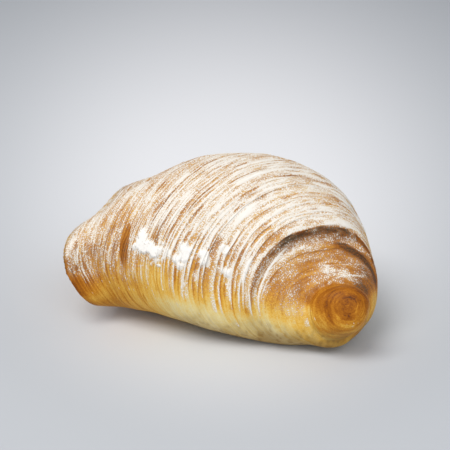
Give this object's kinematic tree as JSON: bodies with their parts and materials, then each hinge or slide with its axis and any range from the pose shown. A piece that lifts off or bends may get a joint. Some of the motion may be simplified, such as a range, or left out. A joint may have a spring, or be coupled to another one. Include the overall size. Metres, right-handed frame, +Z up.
{
  "type": "sfogliatella",
  "caption": "Baked shell-shaped pastry of thin overlapping leaves, wound from a closed knob to a wide pressed lip and dusted with icing sugar.",
  "frame": {"origin": "on the surface the pastry rests on, under the middle of its box", "axes": "+Z up, +X along the pastry from its wide lip to its wound knob, -Y the side towards which the knob turns"},
  "size_m": [0.1188, 0.0852, 0.0569],
  "materials": {
    "crust": "baked dough, golden to brown, slightly greasy sheen on the bare leaves",
    "icing_sugar": "fine dry powder, matt"
  },
  "bodies": {
    "root": {"pastry": "crust"}
  },
  "joints": []
}
